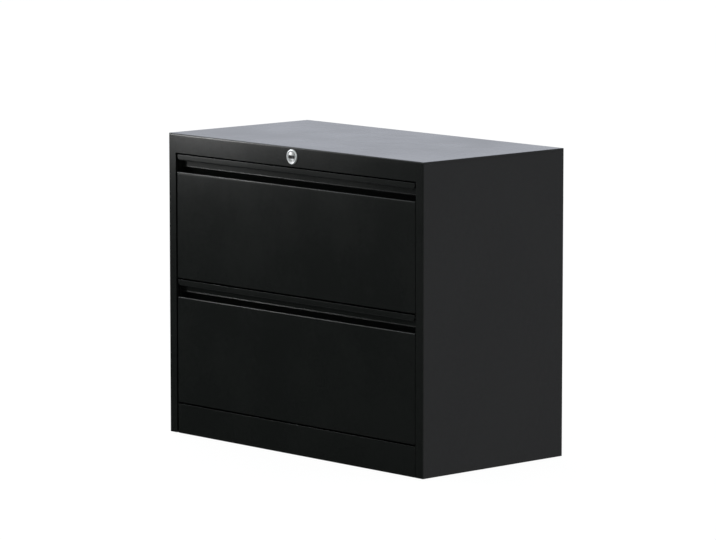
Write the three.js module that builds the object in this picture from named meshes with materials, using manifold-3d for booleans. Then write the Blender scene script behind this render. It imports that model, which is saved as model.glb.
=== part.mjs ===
// Lateral filing cabinet: a folded steel case with two wide drawers on telescopic slides, a finger
// pull folded into the top of each drawer front, and one lock whose rod lifts a bar behind both drawers.
// Millimetres, +Z up, +X to the right as seen from the front. The front faces -Y, and the origin lies
// on the floor under the middle of the cabinet. Pieces are drawn with Y as depth behind the front face.
import * as THREE from "three";
import { mergeVertices } from "three/addons/utils/BufferGeometryUtils.js";
import Module from "manifold-3d";

const wasm = await Module();
wasm.setup();

// Case
const caseWidth = 900;
const caseDepth = 458;
const caseHeight = 737;
const caseStand = 1.5; // the glides hold the bottom edge of the case this far off the floor
const sheet = 1; // case and drawer sheet
const foldRadius = 1.5; // inside radius of a plain fold
const crisp = 0.4; // outside radius of a fold pressed sharp
const heavySheet = 1.5; // uprights, base rails and brackets
const seam = 0.3; // hairline between pieces that meet
const capFlange = 6; // edges of the top panel turned down at the sides and back
const railHeight = 47; // top rail, folded down from the top panel
const railReturn = 18;
const stileWidth = 25.5; // front edge of each side panel
const stileReturn = 22;
const backReturn = 20; // rear edge of each side panel, behind the back panel
const backFlange = 12;
const uprightDepth = 30;
const kickHeight = 72.6;

// Front gaps
const railGap = 3.6; // top rail to upper drawer
const drawerGap = 4.6; // between the drawers, and lower drawer to kick panel
const leftGap = 6; // drawer fronts to the left stile
const rightGap = 2; // drawer fronts to the right stile

// Base
const glidePadRadius = 15;
const glidePadHeight = 6;
const glidePadEdge = 1.5;
const glideStemRadius = 4.7;
const glideStemLength = 32;
const glideInset = 50; // glide axis from the side of the case
const glideNutRadius = 9;
const glideNutHeight = 8;
const baseRailHeight = 36;
const baseRailFlange = 40;
const weightWidth = 560;
const weightDepth = 110;
const weightHeight = 25;
const weightEdge = 3;
const weightSetback = 45; // from the back panel

// Drawer fronts
const frontDepth = 38; // outer skin to inner skin
const frontLip = 22; // rear edges of the outer skin turned inwards
const pullDrop = 42.3; // top edge of the face below the top of the drawer
const panelEdge = 2; // radius of that edge
const panelReturn = 14;
const panelHem = 8;
const endSetback = 8; // front edge of the recess ends behind the face
const lipDrop = 13.8; // underside of the pull's lip
const lipEdge = 2.4; // radius under the lip
const lipCorner = 10; // radius at the lip's two ends
const pullDepth = 20; // back wall of the finger recess
const wallHeight = 15.7;
const flareHeight = 1.8; // foot of that wall, turned forwards
const flareReach = 1.8;
const flareBend = 1.6; // radius of that turn
const shelfDepth = 7; // level stretch under the wall, before the pull slopes down to the back

// Drawer tubs
const lockRoom = 31.7; // between the tub's back and the back panel
const skinDrop = 38; // fold of the inner skin and the back below the top of the drawer
const hangSlot = 10; // room between a hanging rail and the wall that carries it
const hangRise = 14;
const footLevel = 7;
const footDepth = 14;
const sideTop = 170;
const sideFoot = 14;
const sideFlange = 10;
const sideHem = 6;
const beadDepth = 3; // pressed stiffening beads
const beadWidth = 30;
const beadSlope = 6;
const beadSpacing = 205;
const fileBarThickness = 2;
const fileBarHeight = 20;
const fileBarSpacing = 282;
const fileBarHook = 8; // how far the ends reach down beside the hanging rails
const fileBarOverhang = 6;

// Telescopic slides
const slideThickness = 12.7;
const slideHeight = 45;
const slideRoom = 16.7; // between the slides and the back panel
const slideSheet = 1.2;
const slideFold = 0.8;
const slideFlange = 10.5;
const slideSetback = 1; // slides start this far behind the drawer front
const slideLevel = 100; // slide axis above the bottom of its drawer

// Lock
const bezelRadius = 18.5;
const bezelProud = 3;
const seatFront = 1; // seat of the plug's head in front of the rail
const barrelRadius = 11;
const barrelLength = 26;
const lockNutRadius = 16;
const lockNutHeight = 6;
const plugRadius = 9;
const plugLength = 30;
const plugHead = 12.4;
const plugProud = 2.3; // rim of the plug's head in front of the rail
const plugDome = 0.2; // rise of its face in the middle
const keySlotWidth = 14;
const keySlotHeight = 3.6;
const keySlotDepth = 7;
const rodRadius = 3;
const rodTip = 3;
const camLow = 8;
const camWidth = 5;
const camRoom = 19.7; // between the cam and the back panel
const camHeel = Math.PI; // turn over which the cam stays round
const lockLift = 10;
const lockTurn = Math.PI / 2;
const lockOverrun = Math.PI / 12; // the cam's rise goes on this far past the locked turn
const bracketRoom = 27.7; // between the rod's bracket and the back panel
const bracketFoot = 14;
const bracketWidth = 24;
const bracketDrop = 10;
const barWidth = 20;
const barSheet = 2.5;
const barTab = 22;
const barTail = 62; // lock bar below the lower catch
const guideFoot = 12;
const guideHeight = 16;
const guideFold = 0.4;
const guideAbove = 56; // guides above the catches
const hookSheet = 3;
const hookWidth = 14;
const hookRise = 11;
const hookGap = 3; // hook below the catch when unlocked
const hookClear = 4.5; // hook in front of the catch
const catchBelow = 104; // below the top of the drawer
const catchSheet = 1.5;
const catchWidth = 18;
const catchReach = 15;
const catchLeg = 14;
const catchDrop = 10;

// Roundness
const foldSteps = 3; // facets in a square fold
const bezelSteps = 8;
const domeSteps = 4;
const roundSides = 32;
const stemSides = 16;
const camSteps = 10;
const cutOver = 5; // cutting solids run this far past what they cut

// Places that follow from the sizes above
const halfWidth = caseWidth / 2;
const frontY = (bezelProud - caseDepth) / 2;
const railBottom = caseHeight - railHeight;
const capBottom = caseHeight - capFlange;
const ceiling = caseHeight - sheet - foldRadius - seam;
const openingHalf = halfWidth - stileWidth;
const railEnd = openingHalf + crisp; // the top rail meets the flat of each stile here
const frontSpan = [leftGap - openingHalf, openingHalf - rightGap];
const innerHalf = halfWidth - sheet - seam;
const floorHalf = innerHalf - sheet - foldRadius;
const drawerHeight = (railBottom - railGap - 2 * drawerGap - kickHeight) / 2;
const upperBase = railBottom - railGap - drawerHeight;
const lowerBase = kickHeight + drawerGap;
const backRear = caseDepth - sheet - seam;
const backFace = backRear - sheet;
const caseFront = stileReturn + seam; // first depth behind the stiles
const baseBottom = glidePadHeight + seam - caseStand;
const baseTop = baseBottom + baseRailHeight;
const bottomTop = baseTop + seam + sheet + beadDepth;
const panelTop = drawerHeight - pullDrop;
const rollStart = panelTop - panelHem;
const skinFace = frontDepth + seam;
const skinTop = drawerHeight - skinDrop;
const hangTop = skinTop + hangRise;
const slideFace = openingHalf - seam;
const slideFront = frontDepth + slideSetback;
const slideRear = backFace - slideRoom;
const tubRear = backFace - lockRoom; // outer face of the tub's back
const tubHalf = slideFace - slideThickness - seam;
const tubFloorHalf = tubHalf - sheet - foldRadius;
const floorTop = footLevel + sheet + seam + sheet + beadDepth;
const sideFootLevel = floorTop - sheet - seam - sheet;
const tubFront = skinFace + sheet + seam;
const tubBack = tubRear - sheet - seam;
const lockLevel = railBottom + railHeight / 2;
const camDepth = backFace - camRoom;
const bracketDepth = backFace - bracketRoom;
const catchLevel = drawerHeight - catchBelow;
const barRear = backFace - seam;
const barFront = barRear - barSheet;
const tabTop = lockLevel + camLow + seam + barSheet;
const hookFace = tubRear + catchReach - catchSheet - hookClear;

const sides = [["left", -1], ["right", 1]];
const drawers = [["upper", upperBase], ["lower", lowerBase]];
const baseEnds = [["front", caseFront, 1], ["rear", backFace - seam, -1]];

const blackPaint = new THREE.MeshStandardMaterial({ color: 0x17181a, roughness: 0.42, metalness: 0.1 });
const zincSteel = new THREE.MeshStandardMaterial({ color: 0xa9adb2, roughness: 0.36, metalness: 0.9 });
const chrome = new THREE.MeshStandardMaterial({ color: 0xd8dadd, roughness: 0.12, metalness: 1 });
const blackPlastic = new THREE.MeshStandardMaterial({ color: 0x121214, roughness: 0.6, metalness: 0 });
const darkIron = new THREE.MeshStandardMaterial({ color: 0x3a3b3d, roughness: 0.7, metalness: 0.4 });

// A closed geometry as a solid that can be joined and cut
function solid(geometry) {
  geometry.deleteAttribute("normal");
  geometry.deleteAttribute("uv");
  const merged = mergeVertices(geometry, 1e-4);
  const corners = merged.index.array;
  const triVerts = [];
  for (let i = 0; i < corners.length; i += 3) {
    const [a, b, c] = [corners[i], corners[i + 1], corners[i + 2]];
    if (a !== b && b !== c && c !== a) triVerts.push(a, b, c);
  }
  return new wasm.Manifold(
    new wasm.Mesh({
      numProp: 3,
      vertProperties: merged.attributes.position.array,
      triVerts: new Uint32Array(triVerts),
    }),
  );
}

function addPiece(group, name, material, made) {
  const mesh = made.getMesh();
  const geometry = new THREE.BufferGeometry();
  geometry.setAttribute("position", new THREE.BufferAttribute(mesh.vertProperties, 3));
  geometry.setIndex(new THREE.BufferAttribute(mesh.triVerts, 1));
  geometry.computeVertexNormals();
  const piece = new THREE.Mesh(geometry, material);
  piece.name = name;
  group.add(piece);
}

// Outlines drawn in depth and height run along X, in width and height along Y, in plan along Z
const alongX = new THREE.Matrix4().makeBasis(
  new THREE.Vector3(0, 1, 0), new THREE.Vector3(0, 0, 1), new THREE.Vector3(1, 0, 0));
const alongY = new THREE.Matrix4().makeBasis(
  new THREE.Vector3(1, 0, 0), new THREE.Vector3(0, 0, 1), new THREE.Vector3(0, -1, 0));

function extrude(shape, from, to) {
  const geometry = new THREE.ExtrudeGeometry(shape, { depth: to - from, bevelEnabled: false });
  return geometry.translate(0, 0, from);
}

function extrudeX(shape, from, to) {
  return solid(extrude(shape, from, to).applyMatrix4(alongX));
}

function extrudeY(shape, from, to) {
  return solid(extrude(shape, -to, -from).applyMatrix4(alongY));
}

function extrudeZ(shape, from, to) {
  return solid(extrude(shape, from, to));
}

// A rectangular cutting solid between two values on each axis
function block(x, y, z) {
  const size = [x, y, z].map(([a, b]) => Math.abs(b - a));
  const middle = [x, y, z].map(([a, b]) => (a + b) / 2);
  return solid(new THREE.BoxGeometry(...size).translate(...middle));
}

// A rectangle with one radius, or one for each corner from the low right round to the low left
function roundedOutline([left, right], [low, high], radius) {
  const radii = [radius].flat();
  const turn = Math.PI / 2;
  const corners = [[right, low, -1, 1], [right, high, -1, -1], [left, high, 1, -1], [left, low, 1, 1]];
  const points = corners.flatMap(([a, b, inA, inB], corner) => {
    const r = radii[corner % radii.length];
    const steps = r > 0 ? foldSteps : 1;
    return Array.from({ length: steps + 1 }, (_, step) => {
      const angle = turn * (corner - 1 + step / steps);
      return new THREE.Vector2(a + r * (inA + Math.cos(angle)), b + r * (inB + Math.sin(angle)));
    });
  });
  return new THREE.Shape(points);
}

// A block with every edge rounded: what its three outlines have in common. The radii are those of the
// edges that run upright, from front to back and from side to side.
function roundedBlock(x, y, z, upright, deep = upright, wide = upright) {
  const plan = extrudeZ(roundedOutline(x, y, upright), ...z);
  const front = extrudeY(roundedOutline(x, z, deep), ...y);
  const side = extrudeX(roundedOutline(y, z, wide), ...x);
  return plan.intersect(front).intersect(side);
}

const inset = ([low, high], by) => [low + by, high - by];

// A box of folded sheet, closed on all sides until it is cut open
function sheetBox(x, y, z, ...radii) {
  const within = radii.map((radius) => [radius].flat().map((r) => Math.max(r - sheet, 0)));
  const inside = roundedBlock(inset(x, sheet), inset(y, sheet), inset(z, sheet), ...within);
  return roundedBlock(x, y, z, ...radii).subtract(inside);
}

// A strip of sheet folded at each corner of a line. The line is one face of the strip, and the sheet
// lies on its left where hand is 1 and on its right where it is -1. A corner may set that face's radius.
function foldedStrip(corners, hand, thickness = sheet, inside = foldRadius, steps = foldSteps) {
  const points = corners.map(([a, b]) => new THREE.Vector2(a, b));
  const face = [];
  const back = [];
  const across = (from, to) => {
    const along = to.clone().sub(from).normalize();
    return new THREE.Vector2(-along.y, along.x).multiplyScalar(hand);
  };
  points.forEach((point, i) => {
    const before = points[i - 1];
    const after = points[i + 1];
    if (!before || !after) {
      const normal = before ? across(before, point) : across(point, after);
      face.push(point);
      back.push(point.clone().addScaledVector(normal, thickness));
      return;
    }
    const entering = point.clone().sub(before).normalize();
    const leaving = after.clone().sub(point).normalize();
    const turn = Math.atan2(entering.cross(leaving), entering.dot(leaving));
    const outer = turn * hand > 0;
    const normal = across(before, point);
    const mitre = normal.clone().add(across(point, after));
    const bend = (path, vertex, radius) => {
      const start = vertex.clone().addScaledVector(entering, -radius * Math.tan(Math.abs(turn) / 2));
      const centre = start.clone().addScaledVector(normal, outer ? radius : -radius);
      const spoke = start.clone().sub(centre);
      for (let step = 0; step <= steps; step++) {
        path.push(spoke.clone().rotateAround(new THREE.Vector2(), (turn * step) / steps).add(centre));
      }
    };
    const radius = corners[i][2] ?? (outer ? inside + thickness : inside);
    const backCorner = point.clone().addScaledVector(mitre, (2 * thickness) / mitre.lengthSq());
    bend(face, point, radius);
    bend(back, backCorner, outer ? Math.max(radius - thickness, 0) : radius + thickness);
  });
  return new THREE.Shape([...face, ...back.reverse()]);
}

// A flat sheet with pressed beads that run from front to back
function beadedSheet(half, top) {
  const line = [[-half, top]];
  for (const centre of [-beadSpacing, 0, beadSpacing]) {
    line.push([centre - beadWidth / 2 - beadSlope, top]);
    line.push([centre - beadWidth / 2, top - beadDepth]);
    line.push([centre + beadWidth / 2, top - beadDepth]);
    line.push([centre + beadWidth / 2 + beadSlope, top]);
  }
  line.push([half, top]);
  return foldedStrip(line, -1, sheet, foldRadius, 1);
}

// A round bar along Y, and one along Z
function barAlongY(radius, from, to, x, z, count = roundSides) {
  const bar = new THREE.CylinderGeometry(radius, radius, to - from, count);
  return solid(bar.translate(x, (from + to) / 2, z));
}

function barAlongZ(radius, from, to, x, y, count = roundSides) {
  const bar = new THREE.CylinderGeometry(radius, radius, to - from, count).rotateX(Math.PI / 2);
  return solid(bar.translate(x, y, (from + to) / 2));
}

// The top panel with its edges turned down and the top rail folded from its front
function topPanel() {
  const width = [-halfWidth, halfWidth];
  const below = [railBottom - cutOver, capBottom];
  const round = foldRadius + sheet;
  const wide = [crisp, round, round, crisp];
  let panel = sheetBox(width, [0, caseDepth], [railBottom, caseHeight], round, crisp, wide);
  panel = panel.subtract(block(inset(width, -cutOver), [railReturn, caseDepth + cutOver], below));
  for (const [, side] of sides) {
    const end = [side * railEnd, side * (halfWidth + cutOver)];
    panel = panel.subtract(block(end, [-cutOver, railReturn + cutOver], below));
  }
  return panel.subtract(barAlongY(barrelRadius + seam, -cutOver, sheet + cutOver, 0, lockLevel));
}

// A side panel with its stile at the front and its return at the back, cut flat where the top rail meets it
function sidePanel(side) {
  const line = [
    [side * openingHalf, stileReturn],
    [side * openingHalf, 0, crisp],
    [side * halfWidth, 0],
    [side * halfWidth, caseDepth],
    [side * (halfWidth - backReturn), caseDepth],
  ];
  const edge = [side * (openingHalf - cutOver), side * (railEnd + seam)];
  return extrudeZ(foldedStrip(line, side), 0, capBottom - seam)
    .subtract(block(edge, [-cutOver, stileReturn + cutOver], [railBottom - seam, caseHeight]));
}

function backPanel() {
  const line = [
    [-innerHalf, backRear - backFlange],
    [-innerHalf, backRear],
    [innerHalf, backRear],
    [innerHalf, backRear - backFlange],
  ];
  return extrudeZ(foldedStrip(line, -1), 0, ceiling);
}

function kickPanel() {
  const height = [0, kickHeight];
  const behind = [stileReturn - sheet - cutOver, stileReturn + cutOver];
  return sheetBox(frontSpan, [0, stileReturn], height, crisp).subtract(
    block(inset(frontSpan, frontLip), behind, inset(height, frontLip)));
}

function upright(side, front) {
  const line = [
    [side * innerHalf, front + uprightDepth],
    [side * openingHalf, front + uprightDepth],
    [side * openingHalf, front],
    [side * innerHalf, front],
  ];
  return extrudeZ(foldedStrip(line, side, heavySheet), bottomTop + seam, ceiling);
}

// A base channel with a threaded boss over each glide
function baseRail(face, inwards) {
  const line = [
    [face + inwards * baseRailFlange, baseBottom],
    [face, baseBottom],
    [face, baseTop],
    [face + inwards * baseRailFlange, baseTop],
  ];
  let rail = extrudeX(foldedStrip(line, -inwards, heavySheet), -floorHalf, floorHalf);
  for (const [, side] of sides) {
    const x = side * (halfWidth - glideInset);
    const y = face + (inwards * baseRailFlange) / 2;
    const bossTop = baseBottom + heavySheet + glideNutHeight;
    rail = rail
      .add(barAlongZ(glideNutRadius, baseBottom + heavySheet / 2, bossTop, x, y, 6))
      .subtract(barAlongZ(glideStemRadius + seam, 0, bossTop + cutOver, x, y, stemSides));
  }
  return rail;
}

function lathe(profile, count = roundSides) {
  return new THREE.LatheGeometry(profile.map(([r, a]) => new THREE.Vector2(r, a)), count);
}

function glide() {
  const profile = [
    [0, 0],
    [glidePadRadius - glidePadEdge, 0],
    [glidePadRadius, glidePadEdge],
    [glidePadRadius, glidePadHeight],
    [glideStemRadius, glidePadHeight],
    [glideStemRadius, glidePadHeight + glideStemLength],
    [0, glidePadHeight + glideStemLength],
  ];
  return solid(lathe(profile, stemSides).rotateX(Math.PI / 2));
}

function counterweight() {
  const rear = backFace - weightSetback;
  const low = bottomTop + seam;
  return roundedBlock(
    [-weightWidth / 2, weightWidth / 2], [rear - weightDepth, rear], [low, low + weightHeight], weightEdge);
}

// The outer skin of a drawer front: face, returns and recess ends, with the face's top edge rolled back
function drawerFront() {
  const inner = inset(frontSpan, sheet);
  const past = [-cutOver, frontDepth + cutOver];
  const behind = [frontDepth - sheet - cutOver, frontDepth + cutOver];
  const above = [panelTop, drawerHeight + cutOver];
  const line = [
    [0, rollStart],
    [0, panelTop, panelEdge],
    [panelReturn, panelTop],
    [panelReturn, rollStart],
  ];
  return sheetBox(frontSpan, [0, frontDepth], [0, drawerHeight], crisp)
    .subtract(block(inset(frontSpan, frontLip), behind, [frontLip, drawerHeight + cutOver]))
    .subtract(block(inner, past, [rollStart, drawerHeight + cutOver]))
    .subtract(block(inset(frontSpan, -cutOver), [-cutOver, endSetback], above))
    .add(extrudeX(foldedStrip(line, -1), ...inset(inner, -sheet / 2)));
}

// The pull: a lip, the ceiling and back wall of the finger recess, and a slope down to the back
function drawerPull() {
  const rearBottom = rollStart + seam;
  const lipBottom = drawerHeight - lipDrop;
  const flareTop = lipBottom - wallHeight;
  const flareBottom = flareTop - flareHeight;
  const flareFront = pullDepth - flareReach;
  const line = [
    [frontDepth, rearBottom],
    [frontDepth, drawerHeight],
    [0, drawerHeight, crisp],
    [0, lipBottom, lipEdge],
    [pullDepth, lipBottom],
    [pullDepth, flareTop, flareBend],
    [flareFront, flareBottom, crisp],
    [flareFront + shelfDepth, flareBottom],
    [frontDepth - 2 * sheet - seam, rearBottom + sheet],
  ];
  const ends = inset(frontSpan, sheet + seam);
  const through = [-cutOver, pullDepth - foldRadius];
  let pull = extrudeX(foldedStrip(line, 1), ...ends);
  ends.forEach((end, i) => {
    const middle = end + (i ? -lipCorner : lipCorner);
    const corner = block([end, middle], through, [lipBottom - seam, lipBottom + lipCorner]);
    pull = pull.subtract(corner.subtract(barAlongY(lipCorner, ...through, middle, lipBottom + lipCorner)));
  });
  return pull;
}

// A front or back wall of the tub: a foot under the floor and a hanging rail turned up at the top
function tubWall(face, inwards) {
  const line = [
    [face + inwards * footDepth, footLevel],
    [face, footLevel],
    [face, skinTop],
    [face + inwards * hangSlot, skinTop],
    [face + inwards * hangSlot, hangTop],
  ];
  return extrudeX(foldedStrip(line, -inwards), -tubHalf, tubHalf);
}

function tubSide(side) {
  const line = [
    [side * (tubHalf - sideFoot), sideFootLevel],
    [side * tubHalf, sideFootLevel],
    [side * tubHalf, sideTop],
    [side * (tubHalf - sideFlange), sideTop],
    [side * (tubHalf - sideFlange), sideTop - sideHem],
  ];
  return extrudeY(foldedStrip(line, side), tubFront, tubBack);
}

// A bar across the tub from front to back, notched to sit over both hanging rails
function fileBar(x) {
  const railFaces = [skinFace + hangSlot, tubRear - hangSlot - sheet];
  const ends = [railFaces[0] - fileBarOverhang, railFaces[1] + sheet + fileBarOverhang];
  const low = hangTop - fileBarHook;
  const width = [x - fileBarThickness / 2, x + fileBarThickness / 2];
  let bar = block(width, ends, [low, low + fileBarHeight]);
  for (const face of railFaces) {
    const notch = [face - seam, face + sheet + seam];
    bar = bar.subtract(block(inset(width, -cutOver), notch, [low - cutOver, hangTop + seam]));
  }
  return bar;
}

// One member of a slide: a channel whose web lies at one depth of the slide's thickness
function slideMember(side, web, tip, half) {
  const x = (inFromFace) => side * (slideFace - inFromFace);
  const line = [[x(tip), half], [x(web), half], [x(web), -half], [x(tip), -half]];
  const hand = tip > web ? -side : side;
  return extrudeY(foldedStrip(line, hand, slideSheet, slideFold, 2), slideFront, slideRear);
}

function slideSet(side) {
  const step = slideSheet + seam;
  const half = slideHeight / 2;
  return {
    outer: slideMember(side, 0, slideFlange, half),
    middle: slideMember(side, step, slideFlange, half - step),
    inner: slideMember(side, slideThickness, 2 * step, half - 2 * step),
  };
}

// The part of the drawer that the lock holds
function drawerCatch() {
  const face = tubRear + seam;
  const line = [
    [face, catchLevel - catchLeg],
    [face, catchLevel],
    [tubRear + catchReach, catchLevel],
    [tubRear + catchReach, catchLevel - catchDrop],
  ];
  return extrudeX(foldedStrip(line, -1, catchSheet), -catchWidth / 2, catchWidth / 2);
}

// Lock pieces turn about a line along Y: profiles are drawn as radius and distance in front of the rail
function turned(profile) {
  return solid(lathe(profile).rotateX(Math.PI).translate(0, 0, lockLevel));
}

// The barrel and its half-round bezel
function lockHousing() {
  const bore = plugRadius + seam;
  const seat = plugHead + seam;
  const middle = (bezelRadius + seat) / 2;
  const profile = [
    [bore, -barrelLength],
    [barrelRadius, -barrelLength],
    [barrelRadius, seam],
    [bezelRadius, seam],
  ];
  for (let step = 0; step <= bezelSteps; step++) {
    const angle = (Math.PI * step) / bezelSteps;
    const r = middle + (bezelRadius - middle) * Math.cos(angle);
    profile.push([r, seatFront + (bezelProud - seatFront) * Math.sin(angle)]);
  }
  profile.push([bore, seatFront], profile[0]);
  return turned(profile);
}

function lockNut() {
  const hexagon = new THREE.CylinderGeometry(lockNutRadius, lockNutRadius, lockNutHeight, 6);
  const near = sheet + seam;
  const blank = solid(hexagon.translate(0, near + lockNutHeight / 2, lockLevel));
  const hole = barAlongY(barrelRadius + seam, near - cutOver, near + lockNutHeight + cutOver, 0, lockLevel);
  return blank.subtract(hole);
}

// The plug, with a domed head and the key's slot across it
function lockPlug() {
  const profile = [
    [0, -plugLength],
    [plugRadius, -plugLength],
    [plugRadius, seatFront + seam],
    [plugHead, seatFront + seam],
  ];
  for (let step = 0; step <= domeSteps; step++) {
    const share = 1 - step / domeSteps;
    profile.push([plugHead * share, plugProud + plugDome * (1 - share * share)]);
  }
  const width = [-keySlotWidth / 2, keySlotWidth / 2];
  const height = [lockLevel - keySlotHeight / 2, lockLevel + keySlotHeight / 2];
  return turned(profile).subtract(block(width, [-cutOver, keySlotDepth], height));
}

// A cam whose flat follower rises evenly with the turn: a round heel, then an involute
function camOutline() {
  const rate = lockLift / lockTurn;
  const points = [];
  const add = (angle, slope) => {
    const reach = camLow + slope * angle;
    const x = -reach * Math.sin(angle) - slope * Math.cos(angle);
    const z = reach * Math.cos(angle) - slope * Math.sin(angle);
    points.push(new THREE.Vector2(x, lockLevel + z));
  };
  for (let step = 0; step <= camSteps; step++) add(camHeel * (step / camSteps - 1), 0);
  for (let step = 0; step <= camSteps; step++) add(((lockTurn + lockOverrun) * step) / camSteps, rate);
  return new THREE.Shape(points);
}

// The rod from the plug to the back of the case, with the cam on its end
function lockRod() {
  const rod = barAlongY(rodRadius, plugLength + seam, camDepth + camWidth + rodTip, 0, lockLevel, stemSides);
  return rod.add(extrudeY(camOutline(), camDepth, camDepth + camWidth));
}

function rodBracket() {
  const top = caseHeight - sheet - seam;
  const line = [
    [bracketDepth - bracketFoot, top],
    [bracketDepth, top],
    [bracketDepth, lockLevel - bracketDrop],
  ];
  const plate = extrudeX(foldedStrip(line, -1, heavySheet), -bracketWidth / 2, bracketWidth / 2);
  const past = [bracketDepth - heavySheet - cutOver, bracketDepth + cutOver];
  return plate.subtract(barAlongY(rodRadius + seam, ...past, 0, lockLevel, stemSides));
}

function lockBar() {
  const line = [[barRear - barTab, tabTop], [barRear, tabTop], [barRear, lowerBase + catchLevel - barTail]];
  return extrudeX(foldedStrip(line, -1, barSheet), -barWidth / 2, barWidth / 2);
}

function barGuide() {
  const level = catchLevel + guideAbove;
  const half = barWidth / 2 + seam;
  const line = [
    [-half - guideFoot, barRear],
    [-half, barRear],
    [-half, barFront - seam],
    [half, barFront - seam],
    [half, barRear],
    [half + guideFoot, barRear],
  ];
  const strap = foldedStrip(line, -1, sheet, guideFold);
  return extrudeZ(strap, level - guideHeight / 2, level + guideHeight / 2);
}

function lockHook() {
  const top = catchLevel - catchDrop - hookGap;
  const line = [[barFront - seam, top - hookRise], [hookFace, top - hookRise], [hookFace, top]];
  return extrudeX(foldedStrip(line, 1, hookSheet), -hookWidth / 2, hookWidth / 2);
}

const cabinet = new THREE.Group();
const body = new THREE.Group();
body.position.set(0, frontY, caseStand);
cabinet.add(body);

// Case and base
addPiece(body, "top_panel", blackPaint, topPanel());
addPiece(body, "back_panel", blackPaint, backPanel());
addPiece(body, "kick_panel", blackPaint, kickPanel());
addPiece(body, "bottom_panel", blackPaint,
  extrudeY(beadedSheet(floorHalf, bottomTop), caseFront, backFace - seam));
addPiece(body, "counterweight", darkIron, counterweight());
for (const [name, side] of sides) {
  addPiece(body, `side_panel_${name}`, blackPaint, sidePanel(side));
  addPiece(body, `upright_front_${name}`, zincSteel, upright(side, caseFront));
  addPiece(body, `upright_rear_${name}`, zincSteel, upright(side, slideRear - uprightDepth));
}
for (const [end, face, inwards] of baseEnds) {
  addPiece(body, `base_rail_${end}`, zincSteel, baseRail(face, inwards));
  for (const [name, side] of sides) {
    const foot = new THREE.Group();
    foot.position.set(side * (halfWidth - glideInset), face + (inwards * baseRailFlange) / 2, -caseStand);
    addPiece(foot, `glide_${end}_${name}`, blackPlastic, glide());
    body.add(foot);
  }
}

// Lock
addPiece(body, "lock_housing", chrome, lockHousing());
addPiece(body, "lock_nut", zincSteel, lockNut());
addPiece(body, "lock_plug", chrome, lockPlug());
addPiece(body, "lock_rod", zincSteel, lockRod());
addPiece(body, "lock_rod_bracket", zincSteel, rodBracket());
addPiece(body, "lock_bar", zincSteel, lockBar());

// Drawers, each drawn from its own bottom edge
for (const [drawer, base] of drawers) {
  const group = new THREE.Group();
  group.position.z = base;
  body.add(group);
  addPiece(group, `${drawer}_drawer_front`, blackPaint, drawerFront());
  addPiece(group, `${drawer}_drawer_pull`, blackPaint, drawerPull());
  addPiece(group, `${drawer}_drawer_inner_front`, blackPaint, tubWall(skinFace, 1));
  addPiece(group, `${drawer}_drawer_back`, blackPaint, tubWall(tubRear, -1));
  addPiece(group, `${drawer}_drawer_floor`, blackPaint,
    extrudeY(beadedSheet(tubFloorHalf, floorTop), tubFront + foldRadius, tubBack - foldRadius));
  addPiece(group, `${drawer}_drawer_catch`, zincSteel, drawerCatch());
  addPiece(group, `lock_hook_${drawer}`, zincSteel, lockHook());
  addPiece(group, `lock_bar_guide_${drawer}`, zincSteel, barGuide());
  for (const [name, side] of sides) {
    addPiece(group, `${drawer}_drawer_side_${name}`, blackPaint, tubSide(side));
    addPiece(group, `${drawer}_file_bar_${name}`, zincSteel, fileBar((side * fileBarSpacing) / 2));
    const slides = new THREE.Group();
    slides.position.z = slideLevel;
    group.add(slides);
    for (const [member, made] of Object.entries(slideSet(side))) {
      addPiece(slides, `${drawer}_slide_${member}_${name}`, zincSteel, made);
    }
  }
}

export default cabinet;
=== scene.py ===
# Lateral filing cabinet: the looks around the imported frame, with camera, floor and studio light
# lengths in metres, turns of profiles in radians, camera angles and creases in degrees
import math
import bmesh
import bpy
from mathutils import Matrix, Vector


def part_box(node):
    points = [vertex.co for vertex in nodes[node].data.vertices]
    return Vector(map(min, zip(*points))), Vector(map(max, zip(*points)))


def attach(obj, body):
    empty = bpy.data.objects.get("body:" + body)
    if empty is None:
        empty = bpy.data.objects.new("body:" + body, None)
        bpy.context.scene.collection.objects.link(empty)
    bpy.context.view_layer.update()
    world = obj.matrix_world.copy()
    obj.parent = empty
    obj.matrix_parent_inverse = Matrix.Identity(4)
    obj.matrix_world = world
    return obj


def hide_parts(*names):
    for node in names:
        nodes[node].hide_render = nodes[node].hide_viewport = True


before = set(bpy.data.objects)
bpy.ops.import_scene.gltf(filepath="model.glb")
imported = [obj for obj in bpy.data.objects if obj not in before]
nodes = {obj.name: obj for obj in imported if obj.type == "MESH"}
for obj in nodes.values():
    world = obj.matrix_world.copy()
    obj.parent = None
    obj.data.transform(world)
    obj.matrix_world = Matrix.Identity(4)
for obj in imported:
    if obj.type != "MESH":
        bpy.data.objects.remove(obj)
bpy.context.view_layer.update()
scene = bpy.context.scene
print("frame loaded:", len(nodes), "nodes")

# camera at the photo's angle
view = {
    "place": (7.8997, -7.3237, 1.8785), "azimuth": 47.228, "elevation": 7.687, "lens": 227.10, "sensor": 36,
}
camera = bpy.data.objects.new("camera", bpy.data.cameras.new("camera"))
camera.data.lens = view["lens"]
camera.data.sensor_width = view["sensor"]
camera.location = view["place"]
camera.rotation_euler = (math.radians(90 - view["elevation"]), 0, math.radians(view["azimuth"]))
scene.collection.objects.link(camera)
scene.camera = camera
scene.view_settings.view_transform = "Standard"
print("camera set")


# node helpers
def make(tree, kind, values=None, **traits):
    node = tree.nodes.new(kind)
    for name, value in traits.items():
        setattr(node, name, value)
    for name, value in (values or {}).items():
        node.inputs[name].default_value = value
    return node


def join(tree, source, target):
    tree.links.new(source, target)


# a socket takes a link or a plain value
def feed(tree, value, socket):
    if isinstance(value, bpy.types.NodeSocket):
        join(tree, value, socket)
    else:
        socket.default_value = value


def objectPlace(tree):
    return make(tree, "ShaderNodeTexCoord").outputs["Object"]


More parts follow.
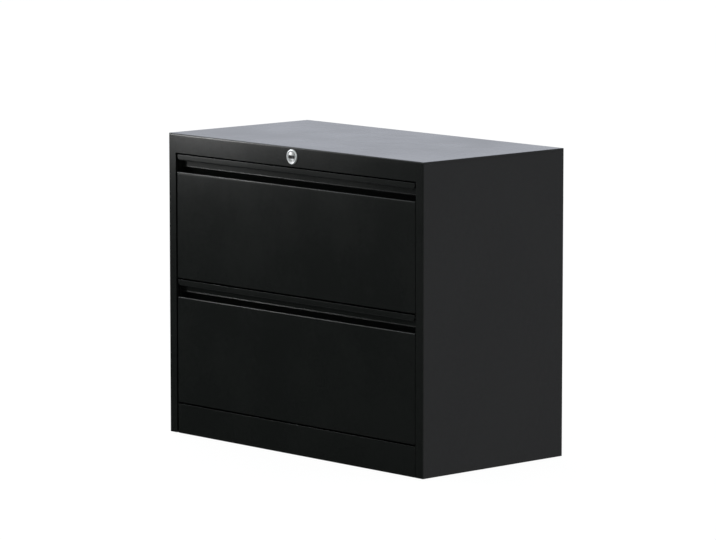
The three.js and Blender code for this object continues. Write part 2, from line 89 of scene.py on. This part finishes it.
def stretched(tree, where, scale, turn=(0.0, 0.0, 0.0)):
    node = make(tree, "ShaderNodeMapping", {"Scale": scale, "Rotation": turn})
    join(tree, where, node.inputs["Vector"])
    return node.outputs["Vector"]


def noise(tree, where, scale, detail=2.0, rough=0.5):
    node = make(tree, "ShaderNodeTexNoise", {"Scale": scale, "Detail": detail, "Roughness": rough})
    join(tree, where, node.inputs["Vector"])
    return node.outputs["Fac"]


def spread(tree, value, low, high, toLow=0.0, toHigh=1.0):
    node = make(tree, "ShaderNodeMapRange",
                {"From Min": low, "From Max": high, "To Min": toLow, "To Max": toHigh},
                interpolation_type="SMOOTHSTEP")
    join(tree, value, node.inputs["Value"])
    return node.outputs["Result"]


def sums(tree, kind, first, second):
    node = make(tree, "ShaderNodeMath", operation=kind)
    feed(tree, first, node.inputs[0])
    feed(tree, second, node.inputs[1])
    return node.outputs["Value"]


# sockets of a colour mix go by number, since their names repeat
mixSockets = {"share": 0, "first": 6, "second": 7, "result": 2}


def blendColour(tree, share, first, second, kind="MIX"):
    node = make(tree, "ShaderNodeMix", data_type="RGBA", blend_type=kind, clamp_factor=True)
    feed(tree, share, node.inputs[mixSockets["share"]])
    feed(tree, first, node.inputs[mixSockets["first"]])
    feed(tree, second, node.inputs[mixSockets["second"]])
    return node.outputs[mixSockets["result"]]


def bump(tree, height, distance, strength, after=None):
    node = make(tree, "ShaderNodeBump", {"Distance": distance, "Strength": strength})
    join(tree, height, node.inputs["Height"])
    if after:
        join(tree, after, node.inputs["Normal"])
    return node.outputs["Normal"]


colourSocket, valueSocket, normalSocket = "NodeSocketColor", "NodeSocketFloat", "NodeSocketVector"
toneSockets = [("Dark", colourSocket), ("Light", colourSocket), ("Gloss", valueSocket)]
surfaceSockets = [("Colour", colourSocket), ("Rough", valueSocket), ("Normal", normalSocket)]


def newGroup(name, given, made):
    tree = bpy.data.node_groups.new(name, "ShaderNodeTree")
    for label, kind in given:
        tree.interface.new_socket(label, in_out="INPUT", socket_type=kind)
    for label, kind in made:
        tree.interface.new_socket(label, in_out="OUTPUT", socket_type=kind)
    return tree, tree.nodes.new("NodeGroupInput"), tree.nodes.new("NodeGroupOutput")


def closeGroup(tree, out, colour, rough, normal):
    join(tree, colour, out.inputs["Colour"])
    join(tree, rough, out.inputs["Rough"])
    join(tree, normal, out.inputs["Normal"])
    return tree


# In the traits below a noise is scale, detail and roughness, the last one left out where it is 0.5.
# A range is the low and high that are read, then the low and high that are given, where not 0 and 1.

# where a folded sheet bends: normals that lie along no axis
foldTraits = {"bend": (0.985, 0.80)}


def foldGroup():
    tree, _, out = newGroup("foldLine", [], [("Mask", valueSocket)])
    size = make(tree, "ShaderNodeVectorMath", operation="ABSOLUTE")
    join(tree, make(tree, "ShaderNodeTexCoord").outputs["Normal"], size.inputs[0])
    axes = make(tree, "ShaderNodeSeparateXYZ")
    join(tree, size.outputs["Vector"], axes.inputs["Vector"])
    level = sums(tree, "MAXIMUM", axes.outputs["X"], axes.outputs["Y"])
    largest = sums(tree, "MAXIMUM", level, axes.outputs["Z"])
    join(tree, spread(tree, largest, *foldTraits["bend"]), out.inputs["Mask"])
    return tree


# dust that settles on what faces up, thin and uneven
dustTraits = {
    "slope": (0.75, 0.99), "cloud": (9, 5, 0.6), "cloudRange": (0.32, 0.72),
    "fleck": (700, 1), "fleckRange": (0.55, 0.8, 0.4, 1.0),
}


def dustGroup():
    tree, _, out = newGroup("settledDust", [], [("Mask", valueSocket)])
    where = make(tree, "ShaderNodeTexCoord")
    axes = make(tree, "ShaderNodeSeparateXYZ")
    join(tree, where.outputs["Normal"], axes.inputs["Vector"])
    level = spread(tree, axes.outputs["Z"], *dustTraits["slope"])
    cloud = noise(tree, where.outputs["Object"], *dustTraits["cloud"])
    fleck = noise(tree, where.outputs["Object"], *dustTraits["fleck"])
    patch = sums(tree, "MULTIPLY", spread(tree, cloud, *dustTraits["cloudRange"]),
                 spread(tree, fleck, *dustTraits["fleckRange"]))
    join(tree, sums(tree, "MULTIPLY", level, patch), out.inputs["Mask"])
    return tree


# powder coat: slight orange peel, fine grain, broad drift in gloss
coatTraits = {
    "broad": (4, 4, 0.55), "peel": (240, 1.5), "grain": (1500, 2), "broadShare": 0.55, "grainShare": 0.45,
    "drift": (0.3, 0.7, -0.018, 0.018), "tooth": (0.3, 0.7, -0.012, 0.012),
    "peelDepth": 0.00001, "grainDepth": 0.000002, "relief": 0.8,
}


def coatGroup():
    tree, given, out = newGroup("powderCoat", toneSockets, surfaceSockets)
    where = objectPlace(tree)
    broad = noise(tree, where, *coatTraits["broad"])
    grain = noise(tree, where, *coatTraits["grain"])
    share = sums(tree, "ADD", sums(tree, "MULTIPLY", broad, coatTraits["broadShare"]),
                 sums(tree, "MULTIPLY", grain, coatTraits["grainShare"]))
    colour = blendColour(tree, share, given.outputs["Dark"], given.outputs["Light"])
    uneven = sums(tree, "ADD", spread(tree, broad, *coatTraits["drift"]),
                  spread(tree, grain, *coatTraits["tooth"]))
    rough = sums(tree, "ADD", given.outputs["Gloss"], uneven)
    skin = bump(tree, noise(tree, where, *coatTraits["peel"]), coatTraits["peelDepth"], coatTraits["relief"])
    normal = bump(tree, grain, coatTraits["grainDepth"], coatTraits["relief"], skin)
    return closeGroup(tree, out, colour, rough, normal)


# zinc plate: cloudy passivated tint over fine rolling lines
zincTraits = {
    "cloud": (22, 4, 0.6), "spangle": 160.0, "stretch": (900.0, 14.0, 900.0), "lines": (1.0, 3),
    "cool": (0.50, 0.53, 0.56, 1), "warm": (0.60, 0.585, 0.545, 1), "tint": (0.3, 0.7),
    "shade": (0.0, 0.9, 0.94, 1.0), "dim": (0.25, 0.75, 0.9, 1.0),
    "gloss": (0.3, 0.7, 0.27, 0.38), "rolled": (0.3, 0.7, -0.03, 0.03), "depth": 0.000004, "relief": 0.7,
}


def zincGroup():
    tree, _, out = newGroup("zincPlate", [], surfaceSockets)
    where = objectPlace(tree)
    cloud = noise(tree, where, *zincTraits["cloud"])
    spangle = make(tree, "ShaderNodeTexVoronoi", {"Scale": zincTraits["spangle"]})
    join(tree, where, spangle.inputs["Vector"])
    lines = noise(tree, stretched(tree, where, zincTraits["stretch"]), *zincTraits["lines"])
    tint = blendColour(tree, spread(tree, cloud, *zincTraits["tint"]), zincTraits["cool"], zincTraits["warm"])
    shade = spread(tree, spangle.outputs["Distance"], *zincTraits["shade"])
    grey = sums(tree, "MULTIPLY", shade, spread(tree, lines, *zincTraits["dim"]))
    colour = blendColour(tree, 1.0, tint, grey, "MULTIPLY")
    rough = sums(tree, "ADD", spread(tree, cloud, *zincTraits["gloss"]),
                 spread(tree, lines, *zincTraits["rolled"]))
    normal = bump(tree, lines, zincTraits["depth"], zincTraits["relief"])
    return closeGroup(tree, out, colour, rough, normal)


# satin bright plating with hair scratches
chromeTraits = {
    "haze": (260, 3), "stretch": (300.0, 300.0, 3200.0), "slant": (0.0, 0.5, 0.0), "hairs": (1.0, 2),
    "hairRange": (0.6, 0.75), "dull": (0.80, 0.81, 0.82, 1), "bright": (0.88, 0.885, 0.89, 1),
    "gloss": (0.3, 0.7, 0.27, 0.34), "scratched": 0.08, "depth": 0.000002, "relief": 0.6,
}


def chromeGroup():
    tree, _, out = newGroup("brightPlate", [], surfaceSockets)
    where = objectPlace(tree)
    haze = noise(tree, where, *chromeTraits["haze"])
    along = stretched(tree, where, chromeTraits["stretch"], chromeTraits["slant"])
    hairs = spread(tree, noise(tree, along, *chromeTraits["hairs"]), *chromeTraits["hairRange"])
    colour = blendColour(tree, haze, chromeTraits["dull"], chromeTraits["bright"])
    scratched = sums(tree, "MULTIPLY", hairs, chromeTraits["scratched"])
    rough = sums(tree, "ADD", spread(tree, haze, *chromeTraits["gloss"]), scratched)
    normal = bump(tree, hairs, chromeTraits["depth"], chromeTraits["relief"])
    return closeGroup(tree, out, colour, rough, normal)


# moulded plastic: fine spark grain
plasticTraits = {
    "grain": (1900, 2), "flow": (60, 3), "drift": (0.3, 0.7, -0.05, 0.05), "depth": 0.000012, "relief": 0.7,
}


def plasticGroup():
    tree, given, out = newGroup("mouldedGrain", toneSockets, surfaceSockets)
    where = objectPlace(tree)
    flow = noise(tree, where, *plasticTraits["flow"])
    colour = blendColour(tree, flow, given.outputs["Dark"], given.outputs["Light"])
    rough = sums(tree, "ADD", given.outputs["Gloss"], spread(tree, flow, *plasticTraits["drift"]))
    grain = noise(tree, where, *plasticTraits["grain"])
    normal = bump(tree, grain, plasticTraits["depth"], plasticTraits["relief"])
    return closeGroup(tree, out, colour, rough, normal)


# iron casting under a thin primer
ironTraits = {
    "lumps": (120, 5, 0.65), "stain": (14, 4, 0.6), "rusted": (0.58, 0.75), "rust": (0.065, 0.034, 0.018, 1),
    "dark": (0.022, 0.022, 0.023, 1), "light": (0.055, 0.055, 0.057, 1),
    "gloss": (0.3, 0.7, 0.55, 0.8), "depth": 0.0004, "relief": 0.8,
}


def ironGroup():
    tree, _, out = newGroup("castSkin", [], surfaceSockets)
    where = objectPlace(tree)
    lumps = noise(tree, where, *ironTraits["lumps"])
    rust = spread(tree, noise(tree, where, *ironTraits["stain"]), *ironTraits["rusted"])
    grey = blendColour(tree, lumps, ironTraits["dark"], ironTraits["light"])
    colour = blendColour(tree, rust, grey, ironTraits["rust"])
    rough = spread(tree, lumps, *ironTraits["gloss"])
    normal = bump(tree, lumps, ironTraits["depth"], ironTraits["relief"])
    return closeGroup(tree, out, colour, rough, normal)


groups = {
    "fold": foldGroup(), "dust": dustGroup(), "coat": coatGroup(), "zinc": zincGroup(),
    "chrome": chromeGroup(), "plastic": plasticGroup(), "iron": ironGroup(),
}
print("node groups made:", len(groups))


def useGroup(tree, name, values=None):
    node = tree.nodes.new("ShaderNodeGroup")
    node.node_tree = groups[name]
    for label, value in (values or {}).items():
        node.inputs[label].default_value = value
    return node


def newMaterial(name, traits):
    material = bpy.data.materials.new(name)
    material.use_nodes = True
    tree = material.node_tree
    shader = tree.nodes["Principled BSDF"]
    for label, value in traits.items():
        shader.inputs[label].default_value = value
    return material, tree, shader


# the coat is thin over the folds, so a little paler and rougher there, and dust lies on what is level
paintTraits = {
    "dark": (0.0042, 0.0047, 0.0044, 1), "light": (0.0063, 0.0069, 0.0065, 1), "gloss": 0.27, "ior": 1.5,
    "thin": (0.035, 0.036, 0.038, 1), "thinShare": 0.04, "thinRough": 0.06,
    "dust": (0.16, 0.155, 0.145, 1), "dustShare": 0.05, "dustRough": 0.6,
}


def paintMaterial(name, traits):
    material, tree, shader = newMaterial(name, {"IOR": traits["ior"]})
    tone = {"Dark": traits["dark"], "Light": traits["light"], "Gloss": traits["gloss"]}
    coat = useGroup(tree, "coat", tone)
    fold = useGroup(tree, "fold").outputs["Mask"]
    dust = sums(tree, "MULTIPLY", useGroup(tree, "dust").outputs["Mask"], traits["dustShare"])
    thin = sums(tree, "MULTIPLY", fold, traits["thinShare"])
    colour = blendColour(tree, thin, coat.outputs["Colour"], traits["thin"])
    join(tree, blendColour(tree, dust, colour, traits["dust"]), shader.inputs["Base Color"])
    rough = sums(tree, "ADD", coat.outputs["Rough"], sums(tree, "MULTIPLY", fold, traits["thinRough"]))
    rough = sums(tree, "ADD", rough, sums(tree, "MULTIPLY", dust, traits["dustRough"]))
    join(tree, rough, shader.inputs["Roughness"])
    join(tree, coat.outputs["Normal"], shader.inputs["Normal"])
    return material


def plainMaterial(name, group, traits, values=None):
    material, tree, shader = newMaterial(name, traits)
    surface = useGroup(tree, group, values)
    join(tree, surface.outputs["Colour"], shader.inputs["Base Color"])
    join(tree, surface.outputs["Rough"], shader.inputs["Roughness"])
    join(tree, surface.outputs["Normal"], shader.inputs["Normal"])
    return material


# lathe marks round the lock's axis pull the shine along them or, a quarter turn on, across them
bezelTraits = {"Metallic": 1.0, "Anisotropic": 0.75, "Anisotropic Rotation": 0.0}
plugTraits = {"Metallic": 1.0, "Anisotropic": 0.6, "Anisotropic Rotation": 0.25}


def turnedMaterial(name, traits):
    material = plainMaterial(name, "chrome", traits)
    tree = material.node_tree
    marks = make(tree, "ShaderNodeTangent", direction_type="RADIAL", axis="Y")
    join(tree, marks.outputs["Tangent"], tree.nodes["Principled BSDF"].inputs["Tangent"])
    return material


mouldTone = {"Dark": (0.010, 0.010, 0.0105, 1), "Light": (0.016, 0.016, 0.0165, 1), "Gloss": 0.46}
materials = {
    "black_paint": paintMaterial("blackPaint", paintTraits),
    "zinc_steel": plainMaterial("zincSteel", "zinc", {"Metallic": 1.0}),
    "chrome": turnedMaterial("chromePlate", bezelTraits),
    "black_plastic": plainMaterial("blackPlastic", "plastic", {"IOR": 1.48}, mouldTone),
    "dark_iron": plainMaterial("darkIron", "iron", {"IOR": 1.6}),
}
finishes = {"lock_plug": turnedMaterial("facedPlate", plugTraits)}  # plating that is worked another way
print("materials made:", len(materials) + len(finishes))

# folds shade smoothly, and sheet edges stay crisp
shading = {"weld": 0.00001, "crease": 38, "weight": 80}


def foldNodes():
    tree = bpy.data.node_groups.new("softFolds", "GeometryNodeTree")
    tree.interface.new_socket("Geometry", in_out="INPUT", socket_type="NodeSocketGeometry")
    tree.interface.new_socket("Geometry", in_out="OUTPUT", socket_type="NodeSocketGeometry")
    given, out = tree.nodes.new("NodeGroupInput"), tree.nodes.new("NodeGroupOutput")
    weld = make(tree, "GeometryNodeMergeByDistance", {"Distance": shading["weld"]})
    plain = make(tree, "GeometryNodeRemoveAttribute", {"Name": "custom_normal"})
    faces = make(tree, "GeometryNodeSetShadeSmooth", {"Shade Smooth": True}, domain="FACE")
    edges = make(tree, "GeometryNodeSetShadeSmooth", {"Shade Smooth": False}, domain="EDGE")
    angle = make(tree, "GeometryNodeInputMeshEdgeAngle")
    sharp = make(tree, "FunctionNodeCompare", data_type="FLOAT", operation="GREATER_THAN")
    join(tree, angle.outputs["Unsigned Angle"], sharp.inputs[0])
    sharp.inputs[1].default_value = math.radians(shading["crease"])
    join(tree, sharp.outputs["Result"], edges.inputs["Selection"])
    join(tree, given.outputs["Geometry"], weld.inputs["Geometry"])
    for before, after in ((weld, plain), (plain, faces), (faces, edges), (edges, out)):
        join(tree, before.outputs["Geometry"], after.inputs["Geometry"])
    return tree


softFolds = foldNodes()


def soften(piece):
    folds = piece.modifiers.new("softFolds", "NODES")
    folds.node_group = softFolds
    weight = piece.modifiers.new("evenNormals", "WEIGHTED_NORMAL")
    weight.keep_sharp = True
    weight.weight = shading["weight"]


for name, node in nodes.items():
    slotName = node.data.materials[0].name.split(".")[0]
    node.data.materials.clear()
    node.data.materials.append(finishes.get(name, materials[slotName]))
    soften(node)
print("frame dressed")


# mesh helpers for the small pieces
def addPiece(name, mesh, slotName, body, smooth=True):
    data = bpy.data.meshes.new(name)
    bmesh.ops.recalc_face_normals(mesh, faces=mesh.faces)
    mesh.to_mesh(data)
    mesh.free()
    piece = bpy.data.objects.new(name, data)
    data.materials.append(materials[slotName])
    for face in data.polygons:
        face.use_smooth = smooth
    scene.collection.objects.link(piece)
    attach(piece, body)
    return piece


def roundEdges(piece, width, steps):
    edge = piece.modifiers.new("edge", "BEVEL")
    edge.width, edge.segments, edge.limit_method = width, steps, "ANGLE"


weldDistance = 1e-6  # corners of a turned shape that meet


# a profile of radius and height turned round Z, then put in place
def spin(mesh, profile, sides, place):
    start = [mesh.verts.new((radius, 0, height)) for radius, height in profile]
    rim = [mesh.edges.new(pair) for pair in zip(start, start[1:])]
    before = set(mesh.verts) - set(start)
    bmesh.ops.spin(mesh, geom=start + rim, cent=(0, 0, 0), axis=(0, 0, 1), angle=2 * math.pi,
                   steps=sides, use_merge=True)
    fresh = [corner for corner in mesh.verts if corner not in before]
    bmesh.ops.remove_doubles(mesh, verts=fresh, dist=weldDistance)
    fresh = [corner for corner in mesh.verts if corner not in before]
    bmesh.ops.transform(mesh, matrix=place, verts=fresh)


# levelling glides: a moulded pad, dished below, with a threaded stem
glide = {
    "pad": 0.015, "height": 0.006, "sides": 48, "dish": 0.0004, "dishRadius": 0.0105, "rimRadius": 0.0111,
    "edge": 0.0018, "edgeTurns": (0.4, 0.8, 1.2, 1.57), "wall": 0.00372, "shoulder": 0.0048, "taper": 0.0008,
    "hub": 0.0085, "hubRise": 0.0004,
    "stem": 0.0046, "root": 0.0039, "top": 0.0375, "tip": 0.0006, "sunk": 0.001, "stemSides": 24,
    "pitch": 0.0016, "thread": (0.0002, 0.0007, 0.0010, 0.0015),
}


def padProfile():
    radius, edge, height = glide["pad"], glide["edge"], glide["height"]
    below = [(0.0, glide["dish"]), (glide["dishRadius"], glide["dish"]), (glide["rimRadius"], 0.0)]
    turn = [(radius - edge + edge * math.sin(t), edge - edge * math.cos(t)) for t in glide["edgeTurns"]]
    above = [(radius, glide["wall"]), (radius - glide["taper"], glide["shoulder"])]
    hub = [(glide["hub"], height - glide["hubRise"]), (glide["hub"], height), (0.0, height)]
    return below + [(radius - edge, 0.0)] + turn + above + hub


def stemProfile():
    root, crest, foot = glide["root"], glide["stem"], glide["height"]
    profile = [(0.0, foot - glide["sunk"]), (root, foot - glide["sunk"])]
    for turn in range(int((glide["top"] - foot) / glide["pitch"])):
        levels = [foot + turn * glide["pitch"] + rise for rise in glide["thread"]]
        profile += zip((root, crest, crest, root), levels)
    return profile + [(root - glide["tip"], glide["top"]), (0.0, glide["top"])]


for end in ("front", "rear"):
    for side in ("left", "right"):
        glideNode = f"glide_{end}_{side}"
        low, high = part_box(glideNode)
        place = Matrix.Translation(((low.x + high.x) / 2, (low.y + high.y) / 2, low.z))
        pad = bmesh.new()
        spin(pad, padProfile(), glide["sides"], place)
        glidePad = addPiece(f"glide_pad_{end}_{side}", pad, "black_plastic", f"{end}_{side}_glide")
        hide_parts(glideNode)
        stem = bmesh.new()
        spin(stem, stemProfile(), glide["stemSides"], place)
        addPiece(f"glide_stem_{end}_{side}", stem, "zinc_steel", f"{end}_{side}_glide")
print("glides made")

# rivet heads: a low dome on a short skirt that is sunk in the sheet
dome = {"turns": (0.25, 0.5, 0.75, 1.0, 1.25, 1.45), "skirt": 1.06, "sunk": 0.0003}


def domeProfile(radius, rise):
    skirt = radius * dome["skirt"]
    cap = [(radius * math.sin(t), rise * math.cos(t)) for t in dome["turns"]]
    return [(0.0, rise)] + cap + [(skirt, 0.0), (skirt, -dome["sunk"]), (0.0, -dome["sunk"])]


# rivets: through the side returns into the back panel, and through the back panel into the bar guides
rivet = {
    "radius": 0.0036, "rise": 0.0014, "sides": 20, "inset": 0.010, "margin": 0.04, "rows": 8, "guide": 0.0163,
}
toBack = Matrix.Rotation(math.radians(-90), 4, "X")
backRivets = bmesh.new()


def addRivet(x, y, z):
    place = Matrix.Translation((x, y, z)) @ toBack
    spin(backRivets, domeProfile(rivet["radius"], rivet["rise"]), rivet["sides"], place)


low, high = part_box("side_panel_right")
for row in range(rivet["rows"]):
    z = low.z + rivet["margin"] + (high.z - low.z - 2 * rivet["margin"]) * row / (rivet["rows"] - 1)
    for way in (-1, 1):
        addRivet(way * (high.x - rivet["inset"]), high.y, z)
for guide in ("upper", "lower"):
    low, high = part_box(f"lock_bar_guide_{guide}")
    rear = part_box("back_panel")[1].y
    for way in (-1, 1):
        addRivet(way * rivet["guide"], rear, (low.z + high.z) / 2)
addPiece("back_rivets", backRivets, "black_paint", "case")
print("rivets made")

# slide fasteners: rivets that hold each inner member to its drawer, and the waisted release lever beside them
fastener = {"radius": 0.0042, "rise": 0.0016, "sides": 16, "web": 0.0012, "along": (0.06, 0.16, 0.27, 0.36)}
lever = {
    "length": 0.062, "height": 0.013, "thick": 0.0022, "from": 0.195, "waist": 0.28, "points": 24,
    "bevel": 0.0006, "bevelSteps": 2,
}


def leverOutline():
    shares = [step / lever["points"] for step in range(lever["points"] + 1)]
    halves = [0.5 - lever["waist"] * math.sin(math.pi * share) * (1 - share) for share in shares]
    upper = [(share * lever["length"], lever["height"] * half) for share, half in zip(shares, halves)]
    return upper + [(along, -rise) for along, rise in reversed(upper)]


for drawer in ("upper", "lower"):
    for side, way in (("left", -1), ("right", 1)):
        low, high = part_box(f"{drawer}_slide_inner_{side}")
        web = way * (min(abs(low.x), abs(high.x)) + fastener["web"])
        middle = (low.z + high.z) / 2
        outward = Matrix.Rotation(math.radians(90 * way), 4, "Y")
        heads = bmesh.new()
        for along in fastener["along"]:
            place = Matrix.Translation((web, low.y + along, middle)) @ outward
            spin(heads, domeProfile(fastener["radius"], fastener["rise"]), fastener["sides"], place)
        addPiece(f"{drawer}_slide_rivets_{side}", heads, "zinc_steel", f"{drawer}_drawer")
        trip = bmesh.new()
        start = low.y + lever["from"]
        face = trip.faces.new([
            trip.verts.new((web, start + along, middle + rise)) for along, rise in leverOutline()])
        grown = bmesh.ops.extrude_face_region(trip, geom=[face])
        raised = [corner for corner in grown["geom"] if isinstance(corner, bmesh.types.BMVert)]
        bmesh.ops.translate(trip, verts=raised, vec=(way * lever["thick"], 0, 0))
        release = addPiece(f"{drawer}_slide_lever_{side}", trip, "black_plastic", f"{drawer}_drawer", False)
        roundEdges(release, lever["bevel"], lever["bevelSteps"])
print("slide fasteners made")

# clips that keep the file bars on the hanging rails
clip = {
    "length": 0.016, "width": 0.009, "height": 0.013, "end": 0.0005, "over": 0.0012,
    "bevel": 0.0018, "bevelSteps": 3,
}
for drawer in ("upper", "lower"):
    clips = bmesh.new()
    for side in ("left", "right"):
        low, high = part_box(f"{drawer}_file_bar_{side}")
        inset = clip["length"] / 2 + clip["end"]
        for y in (low.y + inset, high.y - inset):
            centre = Vector(((low.x + high.x) / 2, y, high.z - clip["height"] / 2 + clip["over"]))
            size = Matrix.Diagonal((clip["width"], clip["length"], clip["height"], 1))
            bmesh.ops.create_cube(clips, size=1, matrix=Matrix.Translation(centre) @ size)
    barClips = addPiece(f"{drawer}_bar_clips", clips, "black_plastic", f"{drawer}_drawer", False)
    roundEdges(barClips, clip["bevel"], clip["bevelSteps"])
print("clips made")

# key entry on the lock plug: a black moulded plate round the slot, drawn as wide and tall as the dark band of
# shade across the plug's face, so partly a real keyway insert and partly painted shade, and two sprung dust
# flaps that lean in behind it
entry = {
    "half": 0.0072, "radius": 0.0038, "slotHalf": 0.0040, "slotRadius": 0.0012, "endSteps": 10,
    "proud": 0.0003, "deep": 0.0006, "flap": 0.0138, "flapHeight": 0.0034, "behind": 0.0009,
    "lean": 0.0007, "thick": 0.0007, "parting": 0.0001, "bevel": 0.0002, "bevelSteps": 2,
}
low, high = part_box("lock_plug")
middle = (low.z + high.z) / 2


# a ring of corners round a slot with half-round ends
def pill(mesh, half, radius, y, level):
    turns = [math.pi * step / entry["endSteps"] - math.pi / 2 for step in range(entry["endSteps"] + 1)]
    right = [(half + radius * math.cos(t), radius * math.sin(t)) for t in turns]
    rim = right + [(-x, -z) for x, z in right]
    return [mesh.verts.new((x, y, level + z)) for x, z in rim]


# faces between two rings of corners
def band(mesh, first, second):
    for here in range(len(first)):
        there = (here + 1) % len(first)
        mesh.faces.new([first[here], first[there], second[there], second[here]])


# the black plate is partly painted shade: its size stands for the dark band of shade across the plug's face
plate = bmesh.new()
front, rear = low.y - entry["proud"], low.y + entry["deep"]
outer, inner = (entry["half"], entry["radius"]), (entry["slotHalf"], entry["slotRadius"])
outlines = ((outer, front), (inner, front), (inner, rear), (outer, rear))
rims = [pill(plate, *size, y, middle) for size, y in outlines]
for first, second in zip(rims, rims[1:] + rims[:1]):
    band(plate, first, second)
keyPlateAndShade = addPiece("key_plate_and_shade", plate, "black_plastic", "lock_cylinder", False)
roundEdges(keyPlateAndShade, entry["bevel"], entry["bevelSteps"])
flaps = bmesh.new()
for way in (-1, 1):
    ends = []
    for x in (-entry["flap"] / 2, entry["flap"] / 2):
        corners = [(entry["flapHeight"] / 2, 0.0), (entry["parting"], entry["lean"])]
        ring = [(x, low.y + entry["behind"] + back, middle + way * rise) for rise, back in corners]
        ring += [(x, y + entry["thick"], z) for x, y, z in reversed(ring)]
        ends.append([flaps.verts.new(corner) for corner in ring])
    flaps.faces.new(ends[0])
    flaps.faces.new(ends[1])
    band(flaps, *ends)
keyFlaps = addPiece("key_flaps", flaps, "black_plastic", "lock_cylinder", False)
roundEdges(keyFlaps, entry["bevel"], entry["bevelSteps"])
print("key entry made")

# floor: pale, seen white by the camera apart from the soft shadow, and left out of reflections
ground = {
    "half": 30, "drop": 0.0004, "Roughness": 0.9, "Specular IOR Level": 0.1, "mottle": (3, 4),
    "dark": (0.80, 0.80, 0.80, 1), "light": (0.84, 0.84, 0.84, 1),
    "white": (1, 1, 1, 1), "glow": 1.06, "share": 0.90,
}
floorSheet = bmesh.new()
bmesh.ops.create_grid(floorSheet, x_segments=2, y_segments=2, size=ground["half"])
floorData = bpy.data.meshes.new("floor")
floorSheet.to_mesh(floorData)
floorSheet.free()
floor = bpy.data.objects.new("floor", floorData)
floor.location.z = -ground["drop"]
scene.collection.objects.link(floor)
floor.visible_glossy = False
matt = {label: ground[label] for label in ("Roughness", "Specular IOR Level")}
floorMaterial, tree, shader = newMaterial("paleFloor", matt)
mottle = noise(tree, objectPlace(tree), *ground["mottle"])
join(tree, blendColour(tree, mottle, ground["dark"], ground["light"]), shader.inputs["Base Color"])
glow = make(tree, "ShaderNodeEmission", {"Color": ground["white"], "Strength": ground["glow"]})
seen = make(tree, "ShaderNodeLightPath").outputs["Is Camera Ray"]
mixed = make(tree, "ShaderNodeMixShader")
join(tree, sums(tree, "MULTIPLY", seen, ground["share"]), mixed.inputs[0])
join(tree, shader.outputs["BSDF"], mixed.inputs[1])
join(tree, glow.outputs["Emission"], mixed.inputs[2])
join(tree, mixed.outputs["Shader"], tree.nodes["Material Output"].inputs["Surface"])
floorData.materials.append(floorMaterial)
print("floor laid")

# studio: a white backdrop that the paint and metal mirror too, pale above,
# with a darker room below it in front
studio = {
    "backdrop": (1.0, 1.04, 1.15, 1), "horizon": (-0.02, 0.09),
    "behind": (-0.73, 0.68, 0.0), "right": (0.73, 0.68, 0.0), "beside": (0.80, -0.60, 0.0),
    "upperBehindRange": (0.15, 0.75), "rightRange": (0.1, 0.85), "lowerRange": (0.3, 0.95),
    "upperFront": (0.60, 0.64, 0.62, 1), "upperRight": (0.95, 0.96, 1.0, 1),
    "lowerFront": (0.026, 0.032, 0.029, 1), "lowerRight": (0.36, 0.36, 0.375, 1),
    "lowerBeside": (0.12, 0.125, 0.125, 1), "lowerBehind": (0.30, 0.30, 0.31, 1),
    "underfoot": (0.17, 0.175, 0.175, 1), "underfootRange": (-0.25, -0.6),
}
world = bpy.data.worlds.new("studio")
scene.world = world
world.use_nodes = True
tree = world.node_tree
where = make(tree, "ShaderNodeTexCoord").outputs["Generated"]


def facing(side, span):
    turn = make(tree, "ShaderNodeVectorMath", operation="DOT_PRODUCT")
    join(tree, where, turn.inputs[0])
    turn.inputs[1].default_value = studio[side]
    return spread(tree, turn.outputs["Value"], *studio[span])


axes = make(tree, "ShaderNodeSeparateXYZ")
join(tree, where, axes.inputs["Vector"])
above = spread(tree, axes.outputs["Z"], *studio["horizon"])
under = spread(tree, axes.outputs["Z"], *studio["underfootRange"])
behind, right = facing("behind", "upperBehindRange"), facing("right", "rightRange")
upper = blendColour(tree, right, studio["upperFront"], studio["upperRight"])
upper = blendColour(tree, behind, upper, studio["backdrop"])
lower = blendColour(tree, right, studio["lowerFront"], studio["lowerRight"])
lower = blendColour(tree, facing("beside", "lowerRange"), lower, studio["lowerBeside"])
lower = blendColour(tree, facing("behind", "lowerRange"), lower, studio["lowerBehind"])
lower = blendColour(tree, under, lower, studio["underfoot"])
room = tree.nodes["Background"]
join(tree, blendColour(tree, above, lower, upper), room.inputs["Color"])
backdrop = make(tree, "ShaderNodeBackground", {"Color": studio["backdrop"], "Strength": 1.0})
rays = make(tree, "ShaderNodeLightPath")
mirrored = sums(tree, "MAXIMUM", rays.outputs["Is Glossy Ray"], rays.outputs["Is Transmission Ray"])
mirrored = sums(tree, "MULTIPLY", mirrored, sums(tree, "MULTIPLY", behind, above))
mixed = make(tree, "ShaderNodeMixShader")
join(tree, sums(tree, "MAXIMUM", rays.outputs["Is Camera Ray"], mirrored), mixed.inputs[0])
join(tree, room.outputs["Background"], mixed.inputs[1])
join(tree, backdrop.outputs["Background"], mixed.inputs[2])
join(tree, mixed.outputs["Shader"], tree.nodes["World Output"].inputs["Surface"])

# strip softbox at the front left
strip = {
    "place": (-1.187, -1.017, 0.922), "aim": (0.0, -0.2275, 0.70),
    "width": 0.08, "height": 0.49, "power": 4.3,
}
lamp = bpy.data.lights.new("stripLight", "AREA")
lamp.shape = "RECTANGLE"
lamp.size, lamp.size_y = strip["width"], strip["height"]
lamp.energy = strip["power"]
stripLight = bpy.data.objects.new("stripLight", lamp)
stripLight.location = strip["place"]
aim = Vector(strip["aim"]) - Vector(strip["place"])
stripLight.rotation_euler = aim.to_track_quat("-Z", "Y").to_euler()
stripLight.visible_camera = False
scene.collection.objects.link(stripLight)
print("studio lit")

bpy.context.view_layer.update()
